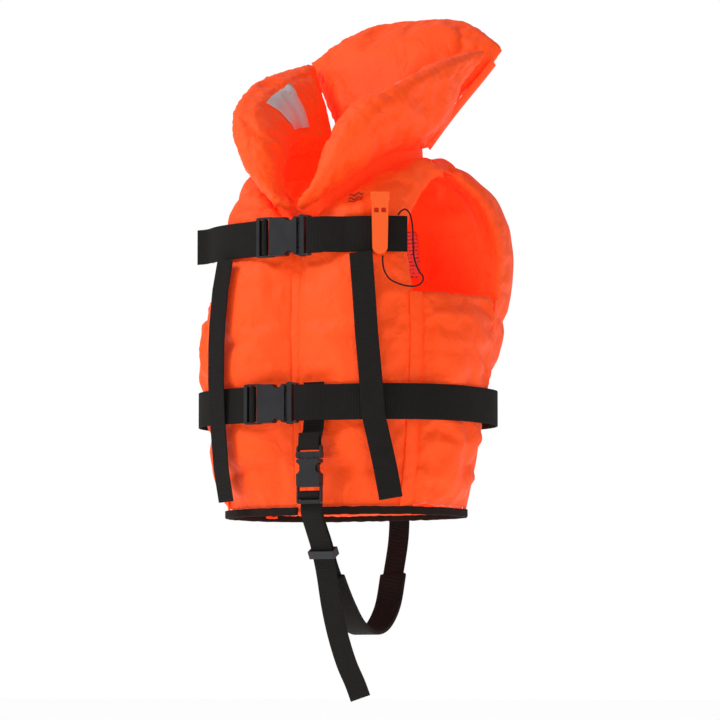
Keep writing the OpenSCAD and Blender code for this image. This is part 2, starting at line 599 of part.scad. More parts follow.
// Faces straight out of the surface at angle a: the section's own slope sets the turn.
function slope(a, z) = let (d = ring(a + 2, z) - ring(a - 2, z)) atan2(d.y, d.x);
module on_ring(a, r, z) {
    near = section_r(a, upper_z);
    translate([near * sin(a), -near * cos(a), z]) rotate([0, 0, slope(a, upper_z)])
        translate([0, near - r, 0]) children();
}
module whistle() {
    belt_top = upper_z + belt_w / 2;
    inner_r = clear_r(whistle_a, upper_z, belt_w / 2) + clip_room;
    round_r = whistle_w / 2 - 2;
    color([1, 0.42, 0.05]) {
        difference() {
            on_ring(whistle_a, whistle_r + whistle_t, whistle_top) rotate([-90, 0, 0])
                linear_extrude(whistle_t) union() {
                    translate([-whistle_w / 2, 0]) square([whistle_w, mouth_h]);
                    polygon([[-whistle_w / 2 + 1, mouth_h], [whistle_w / 2 - 1, mouth_h],
                        [round_r, whistle_h - round_r], [-round_r, whistle_h - round_r]]);
                    translate([0, whistle_h - round_r]) circle(round_r);
                }
            for (s = [-1, 1]) {
                on_ring(whistle_a, whistle_r + whistle_t / 2, whistle_top - whistle_h / 2 + 8)
                    translate([s * (chamber_w / 2 + 0.8) - chamber_w / 2, -whistle_t / 2 + 2, -whistle_h / 2 + 4])
                    cube([chamber_w, whistle_t - 4, whistle_h]);
                on_ring(whistle_a, whistle_r + whistle_t + 1, whistle_top - mouth_h - 13)
                    translate([s * (chamber_w / 2 + 0.8) - chamber_w / 2 + 0.5, 0, 0])
                    cube([chamber_w - 1, 4, 5]);
            }
        }
        on_ring(whistle_a, inner_r + clip_t, belt_top + 1)
            translate([-clip_w / 2, -(whistle_r - inner_r - clip_t) - 1, 0])
            cube([clip_w, whistle_r - inner_r + 1, 3]);
        on_ring(whistle_a, inner_r + clip_t, belt_top + 1 - belt_w * 0.8)
            translate([-clip_w / 2, 0, 0]) cube([clip_w, clip_t, belt_w * 0.8 + 1]);
    }
}
// Lanyard route, from the whistle's end over the panel's edge and back up behind the belt.
cord_route = [
    [104, -104, -122], [104, -104, -129], [107, -106, -138], [113, -106, -147], [121, -103, -152],
    [130, -98, -155], [138, -93, -155], [143, -89, -151], [143, -87, -145], [139, -88, -139],
    [135, -88, -131], [132, -87, -122], [131, -86, -112], [130, -85, -102], [129, -84, -92],
    [127, -83, -83], [124, -82, -76], [120, -84, -72], [116, -86, -74], [113, -87, -78]
];
cord_sides = 8;
cord_rings = 56;
function cord_ring(p, way, r) =
    let (s = unit(cross(way, [0.31, 0.95, 0.05])), n = cross(way, s))
    [for (k = [0:cord_sides - 1]) p + r * (s * cos(360 * k / cord_sides) + n * sin(360 * k / cord_sides))];
module whistle_cord() {
    path = [for (p = smooth(cord_route, cord_rings)) p];
    color(black) swept([for (k = [0:cord_rings]) cord_ring(path[k], way_at(path, k), cord_d / 2)]);
}

// ---- Reflectors and label ----
module reflector_left() { color("silver") plate_on(lobe_rows, lobe_pad, [0.2, 0.8], [0.54, 0.74], true, nose = lobe_nose); }
module reflector_right() { mirror([1, 0, 0]) reflector_left(); }
module back_reflectors() {
    color("silver") for (us = [[0.22, 0.33], [0.67, 0.78]])
        plate_on(whole(back_rows), back_pad, us, [0.7, 0.79], false, 1, upper_taper);
}
module inner_label() {
    color([0.95, 0.4, 0.45]) plate_on(whole(back_rows), back_pad, [0.45, 0.58], [0.62, 0.78], true, 0.8, upper_taper);
}

// ---- Buckle pieces ----
module upper_buckle_socket() { color(black) at_upper() socket(belt_w, buckle_t, socket_len, adjuster_len); }
module upper_buckle_plug() { color(black) at_upper() plug(belt_w, buckle_t, plug_len); }
module upper_prong_top() { color(black) at_upper() prong(belt_w, buckle_t, socket_len, 1); }
module upper_prong_bottom() { color(black) at_upper() prong(belt_w, buckle_t, socket_len, -1); }
module lower_buckle_socket() { color(black) at_lower() socket(belt_w, buckle_t, socket_len, adjuster_len); }
module lower_buckle_plug() { color(black) at_lower() plug(belt_w, buckle_t, plug_len); }
module lower_prong_top() { color(black) at_lower() prong(belt_w, buckle_t, socket_len, 1); }
module lower_prong_bottom() { color(black) at_lower() prong(belt_w, buckle_t, socket_len, -1); }
module crotch_buckle_socket() {
    color(black) at_crotch() socket(strap_w, crotch_t, crotch_socket_len, crotch_adjuster_len);
}
module crotch_buckle_plug() { color(black) at_crotch() plug(strap_w, crotch_t, crotch_plug_len); }
module crotch_prong_right() { color(black) at_crotch() prong(strap_w, crotch_t, crotch_socket_len, -1); }
module crotch_prong_left() { color(black) at_crotch() prong(strap_w, crotch_t, crotch_socket_len, 1); }

front_right_cover();
front_left_cover();
back_cover();
front_right_foam();
front_left_foam();
back_foam();
side_gusset_right();
side_gusset_left();
armhole_elastic_right();
armhole_elastic_left();
collar_right_cover();
collar_left_cover();
collar_right_foam();
collar_left_foam();
head_support_cover();
head_support_foam();
hem_binding();
upper_belt_right();
upper_belt_left();
lower_belt();
vertical_strap_right();
vertical_strap_left();
upper_buckle_socket();
upper_buckle_plug();
upper_prong_top();
upper_prong_bottom();
lower_buckle_socket();
lower_buckle_plug();
lower_prong_top();
lower_prong_bottom();
crotch_buckle_socket();
crotch_buckle_plug();
crotch_prong_right();
crotch_prong_left();
crotch_drop_strap();
crotch_strap();
crotch_sleeve();
strap_keeper();
whistle();
whistle_cord();
reflector_right();
reflector_left();
back_reflectors();
inner_label();
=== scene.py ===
# %% [markdown]
# # A child's foam life jacket, dressed in Blender
# The hard frame (buckles, whistle, keeper) and the plain soft solids come from the imported model.
# This lesson puts the camera in place, lays the lanyard, puffs the pads with cloth simulation, and then
# adds webbing, tapes, reflectors and finishes. Every length is in metres: +Z is up, the front faces -Y.

# %% Load the fixed frame
import math

import bmesh
import bpy
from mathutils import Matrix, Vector, noise
from mathutils.bvhtree import BVHTree
from mathutils.kdtree import KDTree


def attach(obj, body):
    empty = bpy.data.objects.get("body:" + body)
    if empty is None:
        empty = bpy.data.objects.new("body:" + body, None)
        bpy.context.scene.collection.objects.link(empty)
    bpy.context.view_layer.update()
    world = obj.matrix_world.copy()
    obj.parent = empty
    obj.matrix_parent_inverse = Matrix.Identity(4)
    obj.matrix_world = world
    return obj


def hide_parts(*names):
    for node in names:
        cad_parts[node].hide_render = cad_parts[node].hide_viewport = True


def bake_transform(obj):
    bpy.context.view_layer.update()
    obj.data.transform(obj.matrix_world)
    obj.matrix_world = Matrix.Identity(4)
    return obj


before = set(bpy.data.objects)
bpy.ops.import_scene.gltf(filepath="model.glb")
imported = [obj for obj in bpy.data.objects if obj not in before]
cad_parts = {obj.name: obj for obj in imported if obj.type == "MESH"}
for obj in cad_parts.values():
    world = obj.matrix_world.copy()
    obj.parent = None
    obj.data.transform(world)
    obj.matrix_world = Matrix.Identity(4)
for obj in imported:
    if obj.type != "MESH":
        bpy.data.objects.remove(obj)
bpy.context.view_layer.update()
scene = bpy.context.scene

# %% [markdown]
# ## Camera
# The jacket hangs as if it were worn, and it is seen from its front left quarter, from slightly below the
# chest. A long lens keeps the belts nearly straight.

# %% Camera at the front left quarter
AZIMUTH, ELEVATION, DISTANCE = math.radians(30), math.radians(-4.5), 4.5
toward = Vector((math.sin(AZIMUTH) * math.cos(ELEVATION), -math.cos(AZIMUTH) * math.cos(ELEVATION),
                 math.sin(ELEVATION)))
aim = Vector((math.cos(AZIMUTH) * 0.0141, math.sin(AZIMUTH) * 0.0141, -0.2215))
camera = bpy.data.objects.new("camera", bpy.data.cameras.new("camera"))
scene.collection.objects.link(camera)
camera.data.sensor_width = 36
camera.data.lens = 207
camera.data.clip_end = 60
camera.location = aim + toward * DISTANCE
camera.rotation_mode = "QUATERNION"
camera.rotation_quaternion = (-toward).to_track_quat("-Z", "Y")
scene.camera = camera
print("lens", camera.data.lens, "mm from", round(DISTANCE, 2), "m")

# %% [markdown]
# ## Small helpers
# A piece is a mesh object at the origin with its place in its mesh. `smooth_line` runs one smooth curve
# through a few points, which is how both the lanyard and the webbing are laid.


# %% Helpers for pieces and smooth lines
def add_piece(name, bm, smooth=True):
    mesh = bpy.data.meshes.new(name)
    bm.to_mesh(mesh)
    bm.free()
    piece = bpy.data.objects.new(name, mesh)
    scene.collection.objects.link(piece)
    for face in mesh.polygons:
        face.use_smooth = smooth
    return piece


def take_modifiers(piece):
    """Applies every modifier on a piece."""
    bpy.context.view_layer.update()
    shaped = piece.evaluated_get(bpy.context.evaluated_depsgraph_get())
    mesh = bpy.data.meshes.new_from_object(shaped)
    piece.modifiers.clear()
    piece.data = mesh
    return piece


def smooth_line(points, steps):
    """A Catmull-Rom line with `steps` pieces between each two points."""
    pts = [Vector(p) for p in points]
    pts = [2 * pts[0] - pts[1], *pts, 2 * pts[-1] - pts[-2]]
    line = []
    for k in range(1, len(pts) - 2):
        a, b, c, d = pts[k - 1:k + 3]
        for s in range(steps):
            t = s / steps
            line.append(0.5 * (2 * b + (c - a) * t + (2 * a - 5 * b + 4 * c - d) * t ** 2
                               + (3 * b - a - 3 * c + d) * t ** 3))
    return line + [pts[-2]]


def line_length(line):
    return sum((b - a).length for a, b in zip(line, line[1:]))


def ease(t):
    t = max(0.0, min(1.0, t))
    return t * t * (3 - 2 * t)


# %% [markdown]
# ## Lanyard
# A thin black cord ties the whistle to the jacket. It leaves the whistle's lower end, hangs in a loop over
# the panel's edge and comes back up behind the belt. It is one limp cord of about 0.16 m that shows from
# end to end, so that is its whole length. A curve with a round bevel makes it, then it becomes a mesh.

# %% Lanyard
LANYARD_D = 0.0018
lanyard_points = [(x / 1000, y / 1000, z / 1000) for x, y, z in (
    (104, -104, -122), (104, -104, -129), (107, -106, -138), (113, -106, -147), (121, -103, -152),
    (130, -98, -155), (138, -93, -155), (143, -89, -151), (143, -87, -145), (139, -88, -139),
    (135, -88, -131), (132, -87, -122), (131, -86, -112), (130, -85, -102), (129, -84, -92),
    (127, -83, -83), (124, -82, -76), (120, -84, -72), (116, -86, -74), (113, -87, -78))]
lanyard_line = smooth_line(lanyard_points, 6)


def tube(name, line, radius, sides=4):
    """A round tube along a line, as a mesh with its own length and girth in its UV map."""
    curve = bpy.data.curves.new(name, "CURVE")
    curve.dimensions = "3D"
    curve.bevel_depth = radius
    curve.bevel_resolution = sides
    curve.use_fill_caps = True
    spline = curve.splines.new("POLY")
    spline.points.add(len(line) - 1)
    for point, place in zip(spline.points, line):
        point.co = (*place, 1)
    holder = bpy.data.objects.new(name, curve)
    scene.collection.objects.link(holder)
    bpy.context.view_layer.update()
    mesh = bpy.data.meshes.new_from_object(holder.evaluated_get(bpy.context.evaluated_depsgraph_get()))
    bpy.data.objects.remove(holder)
    piece = bpy.data.objects.new(name, mesh)
    scene.collection.objects.link(piece)
    for face in mesh.polygons:
        face.use_smooth = True
    return piece


lanyard = tube("lanyard", lanyard_line, LANYARD_D / 2)
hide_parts("whistle_cord")
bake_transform(lanyard)
print("lanyard length", round(line_length(lanyard_line), 3), "m")

# %% [markdown]
# ## The body's outline
# The torso is a rounded box that is wider and deeper at some levels than at others. The belts run round it
# at a set distance, so the same outline gives their paths and tells the pads how far they may swell.

# %% Outline of the torso
CHEST, FRONT, BACK = 0.163, 0.116, 0.165
HEM, LOWER, ARM, UPPER = -0.390, -0.276, -0.161, -0.098
LEVELS = [
    (HEM, .83, .83, .87, .56), ((HEM + LOWER) / 2, .91, .91, .94, .6), (LOWER, .95, .95, .98, .66),
    ((LOWER * 2 + ARM) / 3, .98, .98, 1, .79), ((LOWER + ARM * 2) / 3, .99, 1, 1.01, .92),
    (ARM, .97, 1.02, 1, .99), ((ARM + UPPER) / 2, .91, 1.04, .98, 1), (UPPER, .84, 1.04, .95, 1)]
SIDE_SEAM, BACK_SEAM = 58, 111


def share(z, column):
    k = 0
    while k < len(LEVELS) - 2 and z > LEVELS[k + 1][0]:
        k += 1
    low, high = LEVELS[k], LEVELS[k + 1]
    return low[column] + (high[column] - low[column]) * min(1.3, (z - low[0]) / (high[0] - low[0]))


def section_r(a, z):
    """Distance of the pads' outer face from the axis, at angle a in degrees from the front."""
    turn = abs((a + 180) % 360 - 180)
    back = ease((turn - SIDE_SEAM) / (BACK_SEAM - SIDE_SEAM))
    w = CHEST * (share(z, 1) * (1 - back) + share(z, 2) * back)
    d = FRONT * share(z, 3) if turn < 90 else BACK * share(z, 4)
    s, c = abs(math.sin(math.radians(turn))), abs(math.cos(math.radians(turn)))
    return ((s / w) ** 2.6 + (c / d) ** 2.6) ** (-1 / 2.6)


def clear_r(a, z, half):
    return max(section_r(a, z + k * half / 2) for k in (-2, -1, 0, 1, 2))


def on_ring(a, r, z):
    return Vector((r * math.sin(math.radians(a)), -r * math.cos(math.radians(a)), z))


def band_path(a0, a1, z, w, off, step=2.5):
    n = math.ceil(abs(a1 - a0) / step)
    return [on_ring(a, clear_r(a, z, w / 2) + off, z) for a in (a0 + (a1 - a0) * k / n for k in range(n + 1))]


print("half width at the chest", round(section_r(90, ARM), 3), "m")

# %% [markdown]
# ## Room for the webbing
# Foam stands proud between the belts and is pressed in under them. `room_at` gives how far a point of a pad
# may stand out from its plain solid: little under a belt, a strap or a buckle, and more away from them.


# %% Room for swelling
BELT_ROOM, UPPER_ROOM, STRAP_ROOM = 0.0030, 0.0024, 0.0072
WHISTLE_ROOM, DROP_ROOM, CLASP_ROOM = 0.0036, 0.0008, 0.0085
HALF_BELT, HALF_STRAP, HALF_CLASP, HALF_WHISTLE = 0.019, 0.0125, 0.019, 0.013
WHISTLE_ANGLE, CROTCH_X, CLASP_TOP = 45.5, 0.028, 0.297
ROOM_FADE = 0.026
VERTICAL = {1: (36, 38, 41, 49), -1: (36, 38, 40, 41)}


def strap_angle(side, z):
    top = UPPER - 0.020
    s = max(0.0, min(1.0, (z - top) / (HEM + 0.012 - top))) * 3
    k = min(2, int(s))
    angles = VERTICAL[side]
    return side * (angles[k] + (angles[k + 1] - angles[k]) * (s - k))


def room_at(p, most):
    a = math.degrees(math.atan2(p.x, -p.y))
    r = math.hypot(p.x, p.y)
    limits = [(max(0.0, abs(p.z - LOWER) - HALF_BELT), BELT_ROOM)]
    if abs(a) < 64:
        tall = 0.024 if abs(p.x) < 0.05 else HALF_BELT
        limits.append((max(0.0, abs(p.z - UPPER) - tall), UPPER_ROOM))
        side = 1 if a > 0 else -1
        across = abs(a - strap_angle(side, p.z)) * math.radians(1) * r - HALF_STRAP
        below = max(0.0, p.z - (UPPER - 0.02))
        limits.append((max(0.0, across, below), STRAP_ROOM))
        whistle = max(abs(a - WHISTLE_ANGLE) * math.radians(1) * r - HALF_WHISTLE, -0.122 - p.z, p.z + 0.052)
        limits.append((max(0.0, whistle), WHISTLE_ROOM))
        drop = max(abs(p.x - CROTCH_X) - 0.0135, p.z + 0.252, -CLASP_TOP - p.z)
        limits.append((max(0.0, drop), DROP_ROOM))
        clasp = max(abs(p.x - CROTCH_X) - HALF_CLASP, p.z + CLASP_TOP)
        limits.append((max(0.0, clasp), CLASP_ROOM))
    if abs(a) > 150:
        limits.append((max(0.0, abs(p.x - 0.005) - HALF_STRAP, p.z + 0.255), STRAP_ROOM))
    return min([most] + [low + (most - low) * ease(away / ROOM_FADE) for away, low in limits])


print("room between the belts", round(room_at(on_ring(20, 0.12, -0.19), 0.012) * 1000, 1), "mm")

# %% [markdown]
# ## Puffed pads
# Each panel is closed-cell foam in a nylon cover that is a little too big for it, sewn shut round its edge.
# A cloth simulation gives that look: the plain solid is copied, remeshed into small even faces, held along
# its sewn edges and inflated while its fabric is let out by a few per cent, so that it crowns in the middle
# and puckers near the seams. Then each point is held to the room the webbing leaves it.


# %% Copying a cover's outer skin
def outer_skin(node, name):
    """A merged copy of a solid's outermost shell, and points along its sewn edges."""
    bm = bmesh.new()
    bm.from_mesh(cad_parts[node].data)
    bmesh.ops.remove_doubles(bm, verts=bm.verts, dist=1e-5)
    left, shells = set(bm.verts), []
    while left:
        seed = [left.pop()]
        shell = set(seed)
        while seed:
            v = seed.pop()
            for e in v.link_edges:
                w = e.other_vert(v)
                if w not in shell:
                    shell.add(w)
                    seed.append(w)
        left -= shell
        shells.append(shell)
    size = [max(v.co.length for v in s) + max(v.co.x for v in s) - min(v.co.x for v in s) for s in shells]
    keep = shells[size.index(max(size))]
    bmesh.ops.delete(bm, geom=[v for v in bm.verts if v not in keep], context="VERTS")
    seams = []
    for e in bm.edges:
        if len(e.link_faces) == 2 and e.calc_face_angle() > math.radians(38):
            a, b = e.verts[0].co, e.verts[1].co
            n = max(1, int((b - a).length / 0.002))
            seams += [a.lerp(b, k / n) for k in range(n)]
    tree = KDTree(len(seams))
    for k, p in enumerate(seams):
        tree.insert(p, k)
    tree.balance()
    return add_piece(name, bm), tree


# %% Inflating it
def inflate(piece, tree, pressure, let_out, frames=20):
    """Cloth under pressure, held along the sewn edges, with its result applied."""
    sewn = piece.vertex_groups.new(name="sewn")
    for v in piece.data.vertices:
        away = tree.find(v.co)[2]
        sewn.add([v.index], 1 - ease((away - 0.004) / 0.006), "REPLACE")
    cloth = piece.modifiers.new("cloth", "CLOTH")
    cloth.settings.use_pressure = True
    cloth.settings.uniform_pressure_force = pressure
    cloth.settings.effector_weights.gravity = 0
    cloth.settings.vertex_group_mass = "sewn"
    cloth.settings.quality = 4
    cloth.settings.mass = 0.25
    cloth.settings.tension_stiffness = 12
    cloth.settings.compression_stiffness = 12
    cloth.settings.bending_stiffness = 0.6
    cloth.settings.shrink_min = -let_out
    cloth.settings.shrink_max = -let_out
    cloth.collision_settings.use_collision = False
    cloth.point_cache.frame_end = frames
    for f in range(1, frames + 1):
        scene.frame_set(f)
    shaped = piece.evaluated_get(bpy.context.evaluated_depsgraph_get())
    places = [v.co.copy() for v in shaped.data.vertices]
    piece.modifiers.clear()
    piece.vertex_groups.clear()
    scene.frame_set(1)
    return places


# %% The whole pad
SLIP, SINK = 0.004, 0.005
SEAM_DEPTH, SEAM_WIDTH = 0.0011, 0.0022
HEM_GATHER, BELT_GATHER = 0.0030, 0.0016


def puff(node, name, most, inner=0.004, let_out=0.05, pressure=4.0, pucker=0.0018, folds=0.002,
         fold_size=(24, 24, 9), voxel=0.005, torso=True):
    piece, tree = outer_skin(node, name)
    remesh = piece.modifiers.new("even", "REMESH")
    remesh.mode = "VOXEL"
    remesh.voxel_size = voxel
    take_modifiers(piece)
    mesh = piece.data
    rest = [v.co.copy() for v in mesh.vertices]
    normals = [v.normal.copy() for v in mesh.vertices]
    places = inflate(piece, tree, pressure, let_out)
    for k, v in enumerate(mesh.vertices):
        n, p = normals[k], rest[k]
        away = tree.find(p)[2]
        outward = n.x * p.x + n.y * p.y > 0 if torso else True
        limit = (room_at(p, most) if outward else inner) if torso else most
        move = places[k] - p
        out = move.dot(n)
        side = move - n * out
        if side.length > SLIP:
            side *= SLIP / side.length
        v.co = p + side + n * max(-SINK, min(out, limit))
    finer = piece.modifiers.new("finer", "SUBSURF")
    finer.levels = finer.render_levels = 1
    take_modifiers(piece)
    bm = bmesh.new()
    bm.from_mesh(piece.data)
    bmesh.ops.smooth_vert(bm, verts=bm.verts, factor=0.5, use_axis_x=True, use_axis_y=True, use_axis_z=True)
    bm.normal_update()
    moves = []
    for v in bm.verts:
        p = v.co
        seam, _, away = tree.find(p)
        ripple = noise.noise(seam * 105) + 0.5 * noise.noise(seam * 210 + Vector((3, 1, 7)))
        d = pucker * ripple * math.exp(-away / 0.015) * (1 - math.exp(-(away / 0.003) ** 2))
        d -= SEAM_DEPTH * math.exp(-(away / SEAM_WIDTH) ** 2)
        soft = ease(away / 0.03)
        q = Vector((p.x * fold_size[0], p.y * fold_size[1], p.z * fold_size[2]))
        d += folds * soft * (noise.noise(q) + 0.4 * noise.noise(q * 2.3 + Vector((5, 2, 9))))
        if torso:
            a = math.atan2(p.x, -p.y)
            near = min(abs(p.z - LOWER), abs(p.z - UPPER) if abs(a) < 1.1 else 1)
            if near > HALF_BELT:
                gather = noise.noise(Vector((a * 13, near * 6, 2.0 if p.z > -0.19 else 5.0)))
                d += BELT_GATHER * gather * math.exp(-(near - HALF_BELT) / 0.022)
            hem = p.z - HEM
            scallop = noise.noise(Vector((a * 11, 0, 1)))
            d += HEM_GATHER * scallop * math.exp(-hem / 0.02) * ease(hem / 0.008)
            if v.normal.x * p.x + v.normal.y * p.y > 0 and room_at(p, 1.0) < 0.009:
                d = min(d, 0.0003)
        moves.append(v.normal * d)
    for v, move in zip(bm.verts, moves):
        v.co += move
    bm.to_mesh(piece.data)
    bm.free()
    for face in piece.data.polygons:
        face.use_smooth = True
    print(name, "faces", len(piece.data.polygons))
    return piece


# %% Front, back and side pads
pads = {}
for side in ("left", "right"):
    pads[f"front_{side}"] = puff(f"front_{side}_cover", f"front_panel_{side}", 0.012)
    pads[f"gusset_{side}"] = puff(f"side_gusset_{side}", f"side_panel_{side}", 0.011, let_out=0.10,
                                  folds=0.0045, fold_size=(38, 38, 7), pucker=0.0026)
pads["back"] = puff("back_cover", "back_panel", 0.012, folds=0.003)
for side in ("left", "right"):
    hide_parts(f"front_{side}_cover", f"front_{side}_foam")
    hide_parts(f"side_gusset_{side}", f"armhole_elastic_{side}")
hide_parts("back_cover", "back_foam")

# %% Collar lobes and head support
for side in ("left", "right"):
    pads[f"lobe_{side}"] = puff(f"collar_{side}_cover", f"collar_lobe_{side}", 0.010, torso=False,
                                let_out=0.06, pucker=0.0024, folds=0.003, fold_size=(20, 20, 20),
                                voxel=0.0045)
    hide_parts(f"collar_{side}_cover", f"collar_{side}_foam")
pads["head"] = puff("head_support_cover", "head_support", 0.012, torso=False, let_out=0.06, pucker=0.0024,
                    folds=0.003, fold_size=(16, 16, 16), voxel=0.0045)
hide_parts("head_support_cover", "head_support_foam")
for part, pad in pads.items():
    if part == "head":
        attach(pad, "head_support")
    elif part.startswith("lobe"):
        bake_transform(pad)
    else:
        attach(pad, "jacket")

# %% [markdown]
# ## Flat strips
# Webbing, binding tape and the seam tapes between the pads are all flat strips. A strip starts as a grid,
# is laid along a path with its width along a side direction, and gets its thickness from a Solidify
# modifier. Its UV map holds metres across and along it, so a weave can follow it.


# %% Laying a strip
def strip(name, path, sides, width, thick, across=6, crown=0.0):
    n = len(path)
    bm = bmesh.new()
    bmesh.ops.create_grid(bm, x_segments=across, y_segments=n - 1, size=1)
    uv = bm.loops.layers.uv.new("strip")
    run = [0.0]
    for a, b in zip(path, path[1:]):
        run.append(run[-1] + (b - a).length)
    spot = {}
    for v in bm.verts:
        i = round((v.co.x + 1) / 2 * across)
        j = round((v.co.y + 1) / 2 * (n - 1))
        spot[v] = (i, j)
    for v, (i, j) in spot.items():
        way = (path[min(n - 1, j + 1)] - path[max(0, j - 1)]).normalized()
        side = (sides[j] - way * sides[j].dot(way)).normalized()
        s = (i / across - 0.5)
        v.co = path[j] + side * s * width + side.cross(way) * crown * (1 - (2 * s) ** 2)
    for face in bm.faces:
        for loop in face.loops:
            i, j = spot[loop.vert]
            loop[uv].uv = (i / across * width, run[j])
    bmesh.ops.recalc_face_normals(bm, faces=bm.faces)
    piece = add_piece(name, bm)
    wall = piece.modifiers.new("thickness", "SOLIDIFY")
    wall.thickness = thick
    wall.offset = 0
    edge = piece.modifiers.new("round", "BEVEL")
    edge.width = thick * 0.3
    edge.segments = 2
    edge.limit_method = "ANGLE"
    edge.angle_limit = math.radians(50)
    piece["run"] = run[-1]
    return piece


UP = Vector((0, 0, 1))


def level_sides(path):
    return [UP for _ in path]


# %% [markdown]
# ## Belts and straps
# The two belts are 38 mm polypropylene webbing and the straps are 25 mm. At a buckle the webbing goes in
# under the end bar, turns round the middle bar and comes back out over itself. The tail lies on the belt.

# %% Belts
WEB, BELT_W, STRAP_W = 0.0014, 0.038, 0.025
LAYER, TURN_R, END_Y = 0.0022, 0.0027, 0.0033
UPPER_OFF, BELT_OFF, VERTICAL_OFF = 0.0045, 0.0053, 0.0097
UPPER_Y, LOWER_Y = -0.1243, -0.12763


def turn(cx, cy, r, start, way, z, n=8):
    return [Vector((cx + r * math.cos(math.radians(start + way * 180 * k / n)),
                    cy + r * math.sin(math.radians(start + way * 180 * k / n)), z)) for k in range(n + 1)]


def adjuster_in(bar_x, y, end_x, z):
    return ([Vector((end_x - 0.002, y + END_Y + LAYER, z)), Vector((end_x + 0.003, y + END_Y + LAYER, z))]
            + turn(bar_x, y, TURN_R, 90, -1, z)
            + [Vector((bar_x - 0.0026, y - 0.0016, z)), Vector((end_x + 0.0027, y + END_Y - 0.0006, z)),
               Vector((end_x + 0.0014, y + END_Y, z)), Vector((end_x - 0.003, y + END_Y, z))])


def free_path(a, z, w, off, length):
    last = band_path(a, a + 4, z, w, off)[0]
    return [last + Vector((x, y, 0)) * length / 3 for x, y in ((-0.78, 0.55), (-1.72, 0.9), (-2.7, 1))]


def webbing(name, path, sides, width, nodes, body="jacket"):
    piece = strip(name, path, sides, width, WEB, across=8)
    if nodes:
        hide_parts(*nodes)
    if body:
        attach(piece, body)
    print(name, "length", round(piece["run"], 3), "m")
    return piece


belts = {}
path = (band_path(-56, -32, UPPER, BELT_W, UPPER_OFF) + adjuster_in(-0.02856, UPPER_Y, -0.037, UPPER)
        + band_path(-32, -56, UPPER, BELT_W, UPPER_OFF + LAYER)
        + free_path(-56, UPPER, BELT_W, UPPER_OFF + LAYER, 0.024))
belts["upper_right"] = webbing("upper_belt_tail_side", path, level_sides(path), BELT_W,
                               ["upper_belt_right"], None)
path = (band_path(56, 28, UPPER, BELT_W, UPPER_OFF) + [Vector((0.044, UPPER_Y - TURN_R + 0.002, UPPER))]
        + turn(0.026, UPPER_Y, TURN_R, -90, -1, UPPER)
        + [Vector((0.041, UPPER_Y + TURN_R + 0.0006, UPPER))])
belts["upper_left"] = webbing("upper_belt_sewn_side", path, level_sides(path), BELT_W, ["upper_belt_left"])
path = ([Vector((0.030, LOWER_Y + TURN_R + 0.0006, LOWER))] + turn(0.013, LOWER_Y, TURN_R, 90, 1, LOWER)
        + [Vector((0.033, LOWER_Y - TURN_R + 0.002, LOWER))]
        + band_path(26, 296, LOWER, BELT_W, BELT_OFF))
belts["lower_round"] = webbing("lower_belt_round", path, level_sides(path), BELT_W, ["lower_belt"])
path = (band_path(-64, -28, LOWER, BELT_W, BELT_OFF) + adjuster_in(-0.04156, LOWER_Y, -0.050, LOWER)
        + band_path(-30, -46, LOWER, BELT_W, BELT_OFF + LAYER))
belts["lower_tail"] = webbing("lower_belt_tail_side", path, level_sides(path), BELT_W, [], None)

# %% Vertical straps
for side, word in ((1, "left"), (-1, "right")):
    top = UPPER - BELT_W / 2 - 0.001
    path, sides = [], []
    for k in range(57):
        z = top + (HEM + 0.012 - top) * k / 56
        a = strap_angle(side, z)
        r = max(clear_r(a - 4, z, 0.010), clear_r(a + 4, z, 0.010)) + VERTICAL_OFF
        path.append(on_ring(a, r, z))
        across = on_ring(a + 3, section_r(a + 3, z), z) - on_ring(a - 3, section_r(a - 3, z), z)
        sides.append(across.normalized())
    belts[word] = webbing(f"vertical_strap_piece_{word}", path, sides, STRAP_W, [f"vertical_strap_{word}"])

# %% Crotch strap
CROTCH_Y, CLASP_Z = -0.12663, -0.336
BAR_Z, END_Z = CLASP_Z - 0.0368, CLASP_Z - 0.04524
back_y = clear_r(180, LOWER, 0.019) + VERTICAL_OFF
hem_y = clear_r(180, HEM + 0.004, 0.010) + VERTICAL_OFF
crotch_route = [
    (.004, back_y, LOWER + .016), (.004, back_y, LOWER - .016),
    (.004, (back_y + hem_y) / 2 + .003, (LOWER + HEM) / 2),
    (.005, hem_y + .002, HEM + .014), (.006, hem_y + .001, HEM - .006), (.008, hem_y - .006, HEM - .030),
    (.010, .084, HEM - .062), (.013, .066, HEM - .098), (.016, .038, HEM - .121), (.018, .008, HEM - .127),
    (.020, -.022, HEM - .118), (.022, -.048, HEM - .097),
    (.023, -.068, HEM - .074), (.025, -.086, HEM - .053),
    (.026, -.097, HEM - .034), (.027, CROTCH_Y + .010, END_Z - .015),
    (CROTCH_X, CROTCH_Y + END_Y + LAYER, END_Z - .004), (CROTCH_X, CROTCH_Y + END_Y + LAYER, END_Z + .003)]
around = [Vector((CROTCH_X, p.x, p.y)) for p in
          turn(CROTCH_Y, BAR_Z, TURN_R, 0, 1, 0)
          + [Vector((CROTCH_Y - .0016, BAR_Z - .0026, 0)),
             Vector((CROTCH_Y + END_Y - .0006, END_Z + .0027, 0))]]
tail_route = [
    (CROTCH_X, CROTCH_Y + END_Y, END_Z + .0014), (CROTCH_X, CROTCH_Y + END_Y, END_Z - .003),
    (.027, CROTCH_Y + .0065, END_Z - .015), (.026, -.101, HEM - .035), (.025, -.0905, HEM - .054),
    (.025, -.084, HEM - .072), (.027, -.079, HEM - .100),
    (.031, -.073, HEM - .130), (.038, -.067, HEM - .160),
    (.046, -.062, HEM - .182), (.051, -.059, HEM - .198)]
ACROSS = Vector((1, 0.02, 0)).normalized()
hanging = smooth_line(crotch_route, 4)
path = hanging + around + smooth_line(tail_route, 4)
